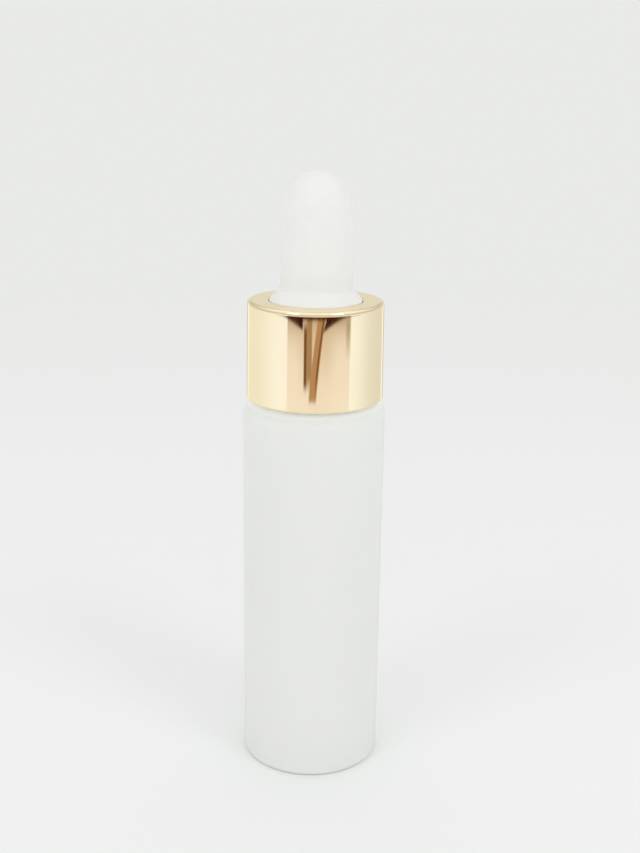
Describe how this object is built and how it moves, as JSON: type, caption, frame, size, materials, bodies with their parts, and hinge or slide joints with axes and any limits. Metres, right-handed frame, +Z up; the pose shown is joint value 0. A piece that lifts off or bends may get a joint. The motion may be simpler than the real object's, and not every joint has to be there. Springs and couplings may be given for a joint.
{
  "type": "dropper bottle",
  "caption": "Slim frosted glass tube bottle with a screw-on dropper: white rubber bulb, pale gold metal collar and a clear glass pipette inside.",
  "frame": {"origin": "middle of the bottle's base, on the plane it stands on", "axes": "+Z up along the bottle's axis, towards the bulb"},
  "size_m": [0.02, 0.02, 0.086],
  "materials": {
    "frosted_glass": "acid-etched frosted outside, smooth inside",
    "clear_glass": "clear, fire-polished ends",
    "white_rubber": "satin",
    "white_plastic": "satin",
    "wiper_plastic": "waxy natural polyethylene",
    "gold_aluminium": "bright pale-gold anodised"
  },
  "bodies": {
    "bottle": {"glass_bottle": "frosted_glass", "neck_wiper": "wiper_plastic"},
    "dropper": {"glass_pipette": "clear_glass"},
    "bulb": {"rubber_bulb": "white_rubber"},
    "closure": {"inner_closure": "white_plastic", "collar_shell": "gold_aluminium"}
  },
  "joints": [
    {"name": "dropper_lift", "type": "slide", "parent": "bottle", "child": "dropper", "axis": [0, 0, 1], "range_m": [0, 0.0645]},
    {"name": "closure_turn", "type": "hinge", "parent": "dropper", "child": "closure", "pos_m": [0, 0, 0.0684], "axis": [0, 0, 1], "continuous": true},
    {"name": "bulb_press", "type": "slide", "parent": "dropper", "child": "bulb", "axis": [0, 0, -1], "range_m": [0, 0.004], "stiffness_N_per_m": 800, "deforming": ["rubber_bulb"]}
  ],
  "couplings": [
    {"joint": "closure_turn", "follows": "dropper_lift", "rad_per_m": 2968}
  ]
}
